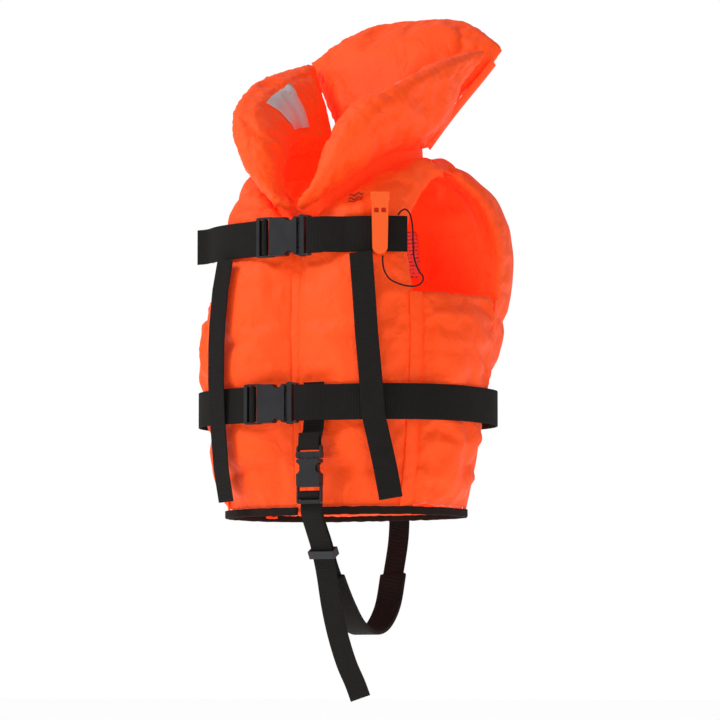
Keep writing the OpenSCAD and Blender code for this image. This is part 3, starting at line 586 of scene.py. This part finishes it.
crotch = webbing("crotch_strap_piece", path, [ACROSS] * len(path), STRAP_W, ["crotch_strap"], None)
path = smooth_line(crotch_route, 6)[36:75]
sleeve = strip("crotch_sleeve_piece", path, [ACROSS] * len(path), STRAP_W + 0.006, 0.0050, across=8)
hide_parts("crotch_sleeve")
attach(sleeve, "jacket")
wall = -clear_r(8, LOWER, 0.025) - 0.0015
top, low = LOWER + 0.022, LOWER - 0.019
drop_bar = CLASP_Z + 0.013
drop = [(wall, top), (wall, low), (wall - .0015, low - .009), (CROTCH_Y + TURN_R + .0002, drop_bar + .008)]
drop += [(p.x, p.y) for p in turn(CROTCH_Y, drop_bar, TURN_R, 0, -1, 0)]
drop += [(CROTCH_Y - TURN_R + .0006, drop_bar + .009), (CROTCH_Y - TURN_R + .0018, drop_bar + .015)]
path = [Vector((CROTCH_X, y, z)) for y, z in drop]
drop_piece = webbing("crotch_drop_piece", path, [Vector((1, 0, 0))] * len(path), STRAP_W,
                     ["crotch_drop_strap"])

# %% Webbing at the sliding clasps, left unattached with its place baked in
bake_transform(belts["upper_right"])
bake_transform(belts["lower_tail"])
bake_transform(crotch)
print("strips that follow a clasp:", 3)

# %% [markdown]
# ## Binding, seam tapes and neck
# The hem is gathered onto a dark binding tape. Between the pads the fabric is sewn edge to edge: narrow
# tapes of the cover fabric lie deep in those seams, so no daylight shows through them.

# %% Hem binding and seam tapes
gap = math.degrees(math.atan2(0.0045, FRONT * .87))
path = []
for k in range(241):
    a = gap + (360 - 2 * gap) * k / 240
    scallop = 0.0012 * noise.noise(Vector((math.radians(a) * 11, 0, 1)))
    path.append(on_ring(a, clear_r(a, HEM, 0.001) - 0.0045 + scallop, HEM + 0.0005 + 0.6 * scallop))
hem = strip("hem_binding_tape", path, level_sides(path), 0.0085, 0.0034, across=4)
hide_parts("hem_binding")
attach(hem, "jacket")


def tape(name, path, sides, width):
    piece = strip(name, path, sides, width, 0.0012, across=6, crown=0.0015)
    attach(piece, "jacket")
    return piece


tapes = []
for side, word in ((1, "left"), (-1, "right")):
    for angle, at_seam, top in ((59.8, "front", ARM + 0.002), (109.2, "back", ARM + 0.002)):
        path = [on_ring(side * angle, section_r(angle, HEM + (top - HEM) * k / 30) - 0.0075,
                        HEM + (top - HEM) * k / 30) for k in range(31)]
        turned = math.radians(side * angle)
        sides = [Vector((math.cos(turned), math.sin(turned), 0))] * 31
        tapes.append(tape(f"{at_seam}_seam_tape_{word}", path, sides, 0.016))
neck_points = [(9, -100, -82), (18, -95, -74), (33, -87, -58), (53, -58, -32), (65, -21, -9), (70, 12, -2),
               (70, 42, 3), (55, 69, 6), (29, 83, 7), (0, 86, 7)]
neck = [Vector(p) / 1000 for p in neck_points]
neck += [Vector((-p.x, p.y, p.z)) for p in reversed(neck[:-1])]
neck_line = smooth_line(neck, 6)
tapes.append(tape("neck_seam_tape", neck_line, [(UP - Vector((p.x, p.y, 0)).normalized() * 0.1).normalized()
                                               for p in neck_line], 0.036))
for side, word in ((1, "left"), (-1, "right")):
    line = smooth_line([(side * x / 1000, y / 1000, z / 1000) for x, y, z in
                        ((58, 76, 16), (72, 86, 40), (88, 98, 66), (104, 112, 92), (116, 122, 112))], 6)
    lean = Vector((side * 0.1, 1, -0.2)).normalized()
    tapes.append(tape(f"crease_tape_{word}", line, [lean] * len(line), 0.012))
    line = smooth_line([(side * x / 1000, y / 1000, z / 1000) for x, y, z in
                        ((78, 38, -2), (92, 32, -4), (107, 24, -11), (120, 14, -22))], 6)
    tapes.append(tape(f"shoulder_tape_{word}", line, [Vector((0, 1, 0.1)).normalized()] * len(line), 0.030))
line = [Vector((0, -section_r(0, HEM + (-0.086 - HEM) * k / 40) + 0.0085, HEM + (-0.086 - HEM) * k / 40))
        for k in range(41)]
tapes.append(tape("front_opening_tape", line, [Vector((1, 0, 0))] * 41, 0.014))
print("seam tapes:", len(tapes))

# %% [markdown]
# ## Reflectors, label and mark
# These lie on the puffed fabric, so each starts as a fine grid between four corners and is dropped onto the
# pad beneath it, then given its own thickness.


# %% Laying a patch on a pad
def tree_of(piece):
    bm = bmesh.new()
    bm.from_mesh(piece.data)
    tree = BVHTree.FromBMesh(bm)
    bm.free()
    return tree


def lie_on(name, pad, node, thick=0.0008, lift=0.0004):
    """Drops a copy of a plain plate onto a pad."""
    tree = tree_of(pad)
    bm = bmesh.new()
    bm.from_mesh(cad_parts[node].data)
    bmesh.ops.remove_doubles(bm, verts=bm.verts, dist=1e-5)
    bmesh.ops.subdivide_edges(bm, edges=bm.edges[:], cuts=2, use_grid_fill=True)
    bm.normal_update()
    spots = []
    for v in bm.verts:
        place, n, _, _ = tree.find_nearest(v.co)
        spots.append(place + n * (lift + (thick if v.normal.dot(n) > 0.1 else 0)))
    for v, spot in zip(bm.verts, spots):
        v.co = spot
    bmesh.ops.recalc_face_normals(bm, faces=bm.faces)
    piece = add_piece(name, bm)
    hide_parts(node)
    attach(piece, "jacket")
    return piece


patches = {
    "right": lie_on("reflector_patch_right", pads["lobe_right"], "reflector_right"),
    "left": lie_on("reflector_patch_left", pads["lobe_left"], "reflector_left"),
    "back": lie_on("reflector_patches_back", pads["back"], "back_reflectors"),
    "label": lie_on("label_patch", pads["back"], "inner_label"),
}


# %% A plain wave mark on the chest
def printed_line(name, pad, points, width):
    tree = tree_of(pad)
    line, sides = [], []
    for p in smooth_line(points, 5):
        place, n, _, _ = tree.find_nearest(p)
        line.append(place + n * 0.0004)
        sides.append(n)
    across = [(line[min(len(line) - 1, k + 1)] - line[max(0, k - 1)]).normalized().cross(n)
              for k, n in enumerate(sides)]
    piece = strip(name, line, across, width, 0.0004, across=2)
    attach(piece, "jacket")
    return piece


mark = []
for row in range(3):
    points = []
    for k in range(9):
        a = 31 + 8 * k / 8
        z = -0.052 - 0.006 * row + 0.0018 * math.sin(k * math.pi / 2)
        points.append((0.112 * math.sin(math.radians(a)), -0.112 * math.cos(math.radians(a)), z))
    mark.append(printed_line(f"chest_wave_{row}", pads["front_left"], points, 0.0016))
print("mark lines:", len(mark))

# %% [markdown]
# ## Buckles, keeper and whistle
# Their solids are the right shape, so they stay. Moulded plastic never has a dead sharp edge: a Weld joins
# the loose triangles and a Bevel softens the corners, which also catches the light.

# %% Soft corners on the hard pieces
HARD = [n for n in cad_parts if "buckle" in n or "prong" in n or n in ("strap_keeper", "whistle")]
for n in HARD:
    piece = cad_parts[n]
    weld = piece.modifiers.new("weld", "WELD")
    weld.merge_threshold = 0.00002
    corner = piece.modifiers.new("corner", "BEVEL")
    corner.width = 0.0011 if n == "whistle" else 0.0005
    corner.segments = 3
    corner.limit_method = "ANGLE"
    corner.angle_limit = math.radians(35)
    corner.use_clamp_overlap = True
    for face in piece.data.polygons:
        face.use_smooth = True
    flat = piece.modifiers.new("flat", "WEIGHTED_NORMAL")
    flat.keep_sharp = False
print("hard pieces:", len(HARD))

# %% [markdown]
# ## Finishes
# Two effects are node groups: a plain weave, and small changes of colour that every finish uses. Each group
# gives only colours, masks and values, and the shader stays in the material.


# %% Node helpers
def new_group(name, inputs, outputs):
    group = bpy.data.node_groups.new(name, "ShaderNodeTree")
    for label, kind, value in inputs:
        socket = group.interface.new_socket(label, in_out="INPUT", socket_type=kind)
        if value is not None:
            socket.default_value = value
    for label, kind in outputs:
        group.interface.new_socket(label, in_out="OUTPUT", socket_type=kind)
    ins = group.nodes.new("NodeGroupInput")
    outs = group.nodes.new("NodeGroupOutput")
    return group, ins, outs


def add(tree, kind, **values):
    node = tree.nodes.new("ShaderNode" + kind)
    for key, value in values.items():
        if key in node.inputs:
            node.inputs[key].default_value = value
        else:
            setattr(node, key, value)
    return node


def maths(tree, operation, a, b=None):
    node = tree.nodes.new("ShaderNodeMath")
    node.operation = operation
    for socket, value in ((node.inputs[0], a), (node.inputs[1], b)):
        if value is None:
            continue
        if isinstance(value, (int, float)):
            socket.default_value = value
        else:
            tree.links.new(value, socket)
    return node.outputs[0]


# %% Shared effect: plain weave
weave, ins, outs = new_group("plain_weave", [
    ("Vector", "NodeSocketVector", None), ("Pitch", "NodeSocketFloat", 900.0)],
    [("Height", "NodeSocketFloat")])
scaled = add(weave, "VectorMath", operation="SCALE")
weave.links.new(ins.outputs["Vector"], scaled.inputs[0])
weave.links.new(ins.outputs["Pitch"], scaled.inputs["Scale"])
parts = add(weave, "SeparateXYZ")
weave.links.new(scaled.outputs[0], parts.inputs[0])
warp = maths(weave, "SINE", maths(weave, "ADD", parts.outputs[0], parts.outputs[1]))
weft = maths(weave, "SINE", parts.outputs[2])
weave.links.new(maths(weave, "MULTIPLY", warp, weft), outs.inputs["Height"])

# %% Shared effect: dust and small colour changes
dust, ins, outs = new_group("worn_colour", [
    ("Color", "NodeSocketColor", (1, 1, 1, 1)), ("Second", "NodeSocketColor", (1, 1, 1, 1)),
    ("Size", "NodeSocketFloat", 12.0), ("Amount", "NodeSocketFloat", 0.3)],
    [("Color", "NodeSocketColor"), ("Mask", "NodeSocketFloat")])
place = add(dust, "TexCoord")
cloud = add(dust, "TexNoise", Detail=5.0, Roughness=0.6)
dust.links.new(place.outputs["Object"], cloud.inputs["Vector"])
dust.links.new(ins.outputs["Size"], cloud.inputs["Scale"])
amount = maths(dust, "MULTIPLY", cloud.outputs[0], ins.outputs["Amount"])
mix = add(dust, "Mix", data_type="RGBA")
dust.links.new(amount, mix.inputs[0])
dust.links.new(ins.outputs["Color"], mix.inputs[6])
dust.links.new(ins.outputs["Second"], mix.inputs[7])
dust.links.new(mix.outputs[2], outs.inputs["Color"])
dust.links.new(cloud.outputs[0], outs.inputs["Mask"])


# %% Making a finish
def finish_of(name, color, second, rough, size=12.0, amount=0.35, metal=0.0, **sockets):
    """A material with its shader, its worn colour and a chain for bumps."""
    mat = bpy.data.materials.new(name)
    mat.use_nodes = True
    tree = mat.node_tree
    shader = tree.nodes["Principled BSDF"]
    shader.inputs["Roughness"].default_value = rough
    shader.inputs["Metallic"].default_value = metal
    for key, value in sockets.items():
        shader.inputs[key.replace("_", " ")].default_value = value
    colour = tree.nodes.new("ShaderNodeGroup")
    colour.node_tree = dust
    colour.inputs["Color"].default_value = (*color, 1)
    colour.inputs["Second"].default_value = (*second, 1)
    colour.inputs["Size"].default_value = size
    colour.inputs["Amount"].default_value = amount
    tree.links.new(colour.outputs["Color"], shader.inputs["Base Color"])
    return mat, tree, shader, colour


def bump(tree, shader, height, strength, distance):
    node = add(tree, "Bump", Strength=strength, Distance=distance)
    tree.links.new(height, node.inputs["Height"])
    last = shader.inputs["Normal"]
    if last.is_linked:
        tree.links.new(last.links[0].from_socket, node.inputs["Normal"])
    tree.links.new(node.outputs["Normal"], last)


# %% Orange nylon
# The red emission is painted light: a faint glow of the nylon itself that keeps its shaded folds deep red.
nylon, tree, shader, colour = finish_of(
    "orange_nylon", (1.0, 0.098, 0.006), (1.0, 0.058, 0.003), 0.55, size=9,
    amount=0.5, Sheen_Weight=0.04, Specular_IOR_Level=0.22,
    Emission_Color=(1.0, 0.012, 0.0, 1), Emission_Strength=0.14)
place = add(tree, "TexCoord")
group = tree.nodes.new("ShaderNodeGroup")
group.node_tree = weave
group.inputs["Pitch"].default_value = 5200
tree.links.new(place.outputs["Object"], group.inputs["Vector"])
creases = add(tree, "TexNoise", Scale=46.0, Detail=3.0, Roughness=0.55, Distortion=0.8)
tree.links.new(place.outputs["Object"], creases.inputs["Vector"])
bump(tree, shader, creases.outputs[0], 0.80, 0.0040)
bump(tree, shader, group.outputs["Height"], 0.35, 0.0002)

# %% Black webbing
ribbed, tree, shader, colour = finish_of(
    "black_webbing", (0.010, 0.009, 0.008), (0.020, 0.018, 0.016), 0.80,
    size=70, amount=0.6, Specular_IOR_Level=0.12)
uv = add(tree, "UVMap", uv_map="strip")
parts = add(tree, "SeparateXYZ")
tree.links.new(uv.outputs[0], parts.inputs[0])
ribs = maths(tree, "SINE", maths(tree, "MULTIPLY", parts.outputs[1], 2 * math.pi / 0.0017))
cords = maths(tree, "SINE", maths(tree, "MULTIPLY", parts.outputs[0], 2 * math.pi / 0.0021))
height = maths(tree, "ADD", ribs, maths(tree, "MULTIPLY", maths(tree, "MULTIPLY", cords, ribs), 0.5))
bump(tree, shader, height, 0.75, 0.0004)

# %% Binding tape, plastics, lanyard
taped, tree, shader, colour = finish_of(
    "dark_binding", (0.016, 0.009, 0.007), (0.030, 0.018, 0.014), 0.8, size=60,
    Specular_IOR_Level=0.12)
uv = add(tree, "UVMap", uv_map="strip")
parts = add(tree, "SeparateXYZ")
tree.links.new(uv.outputs[0], parts.inputs[0])
ridges = maths(tree, "SINE", maths(tree, "MULTIPLY", parts.outputs[1], 2 * math.pi / 0.0013))
bump(tree, shader, ridges, 0.6, 0.0003)

plastic, tree, shader, colour = finish_of(
    "buckle_plastic", (0.012, 0.012, 0.014), (0.026, 0.026, 0.029), 0.40,
    size=55, amount=0.5, Specular_IOR_Level=0.35)
place = add(tree, "TexCoord")
grain = add(tree, "TexNoise", Scale=900.0, Detail=2.0)
tree.links.new(place.outputs["Object"], grain.inputs["Vector"])
bump(tree, shader, grain.outputs[0], 0.25, 0.0001)
blotch = add(tree, "MapRange")
blotch.inputs[3].default_value, blotch.inputs[4].default_value = 0.28, 0.48
tree.links.new(colour.outputs["Mask"], blotch.inputs[0])
tree.links.new(blotch.outputs[0], shader.inputs["Roughness"])

# The orange emission is painted light: a faint glow of the whistle itself that lifts its shaded side.
whistle_plastic, tree, shader, colour = finish_of(
    "whistle_plastic", (0.95, 0.110, 0.003), (0.85, 0.080, 0.002), 0.34,
    size=40, amount=0.5, Emission_Color=(1, 0.06, 0, 1),
    Emission_Strength=0.06)
place = add(tree, "TexCoord")
grain = add(tree, "TexNoise", Scale=300.0, Detail=2.0)
tree.links.new(place.outputs["Object"], grain.inputs["Vector"])
bump(tree, shader, grain.outputs[0], 0.12, 0.0002)

braid, tree, shader, colour = finish_of(
    "lanyard_braid", (0.008, 0.008, 0.008), (0.018, 0.018, 0.018), 0.7, size=300,
    Specular_IOR_Level=0.2)
place = add(tree, "TexCoord")
plait = add(tree, "TexWave", Scale=420.0, bands_direction="DIAGONAL")
tree.links.new(place.outputs["Object"], plait.inputs["Vector"])
bump(tree, shader, plait.outputs[1], 0.6, 0.0003)

# %% Reflector, label and print
silver, tree, shader, colour = finish_of(
    "reflective_film", (0.62, 0.60, 0.62), (0.80, 0.70, 0.76), 0.34, size=30,
    amount=0.5, metal=0.25, Coat_Weight=0.4, Coat_Roughness=0.15)
place = add(tree, "TexCoord")
cells = add(tree, "TexVoronoi", Scale=420.0, feature="DISTANCE_TO_EDGE")
tree.links.new(place.outputs["Object"], cells.inputs["Vector"])
lines = add(tree, "MapRange")
lines.inputs[1].default_value, lines.inputs[2].default_value = 0.0, 0.10
tree.links.new(cells.outputs[0], lines.inputs[0])
bump(tree, shader, lines.outputs[0], 0.7, 0.0003)

paper, tree, shader, colour = finish_of(
    "label_cloth", (0.86, 0.12, 0.10), (0.80, 0.16, 0.14), 0.6, size=40)
place = add(tree, "TexCoord")
parts = add(tree, "SeparateXYZ")
tree.links.new(place.outputs["Object"], parts.inputs[0])
rows = maths(tree, "SINE", maths(tree, "MULTIPLY", parts.outputs[2], 2 * math.pi / 0.0042))
speck = add(tree, "TexNoise", Scale=380.0, Detail=1.0)
tree.links.new(place.outputs["Object"], speck.inputs["Vector"])
ink_mask = maths(tree, "MULTIPLY", maths(tree, "GREATER_THAN", rows, 0.35),
                 maths(tree, "GREATER_THAN", speck.outputs[0], 0.47))
inked = add(tree, "Mix", data_type="RGBA")
inked.inputs[7].default_value = (0.34, 0.05, 0.05, 1)
tree.links.new(ink_mask, inked.inputs[0])
tree.links.new(colour.outputs["Color"], inked.inputs[6])
tree.links.new(inked.outputs[2], shader.inputs["Base Color"])

ink, tree, shader, colour = finish_of(
    "printed_ink", (0.42, 0.030, 0.014), (0.50, 0.04, 0.02), 0.5, size=200)


# %% Giving out the finishes
def wear(piece, mat):
    piece.data.materials.clear()
    piece.data.materials.append(mat)


for piece in [*pads.values(), *tapes]:
    wear(piece, nylon)
for piece in [*belts.values(), crotch, sleeve, drop_piece]:
    wear(piece, ribbed)
wear(hem, taped)
wear(lanyard, braid)
for word in ("right", "left", "back"):
    wear(patches[word], silver)
wear(patches["label"], paper)
for piece in mark:
    wear(piece, ink)
for n in HARD:
    wear(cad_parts[n], whistle_plastic if n == "whistle" else plastic)
print("finishes:", len(bpy.data.materials))

# %% [markdown]
# ## Studio
# A plain pale floor under the hanging strap and two large soft lights. The surround looks white, but it
# lights the jacket more gently than that, so that the black webbing stays black and the folds keep shadows.

# %% Floor and lights
scene.view_settings.view_transform = "Standard"
bm = bmesh.new()
bmesh.ops.create_grid(bm, x_segments=1, y_segments=1, size=30)
bmesh.ops.translate(bm, verts=bm.verts, vec=(0, 0, -0.70))
floor = add_piece("studio_floor", bm, smooth=False)
pale, tree, shader, colour = finish_of(
    "pale_floor", (0.90, 0.90, 0.90), (0.93, 0.93, 0.93), 0.9, size=2,
    Emission_Color=(1, 1, 1, 1), Emission_Strength=0.65)
wear(floor, pale)
world = bpy.data.worlds.new("studio")
world.use_nodes = True
scene.world = world
surround = world.node_tree.nodes["Background"]
surround.inputs[0].default_value = (1, 1, 1, 1)
behind = world.node_tree.nodes.new("ShaderNodeLightPath")
level = world.node_tree.nodes.new("ShaderNodeMapRange")
level.inputs[3].default_value, level.inputs[4].default_value = 0.36, 1.0
world.node_tree.links.new(behind.outputs["Is Camera Ray"], level.inputs[0])
world.node_tree.links.new(level.outputs[0], surround.inputs[1])


def soft_light(name, place, energy, size):
    lamp = bpy.data.lights.new(name, "AREA")
    lamp.energy = energy
    lamp.size = size
    holder = bpy.data.objects.new(name, lamp)
    scene.collection.objects.link(holder)
    holder.location = place
    holder.rotation_mode = "QUATERNION"
    holder.rotation_quaternion = (Vector((0, 0, -0.2)) - Vector(place)).to_track_quat("-Z", "Y")
    holder.visible_camera = False
    return holder


soft_light("key", (-1.6, -1.7, 1.7), 52, 0.9)
soft_light("fill", (2.6, -1.4, 0.4), 10, 1.8)
print("lights placed")
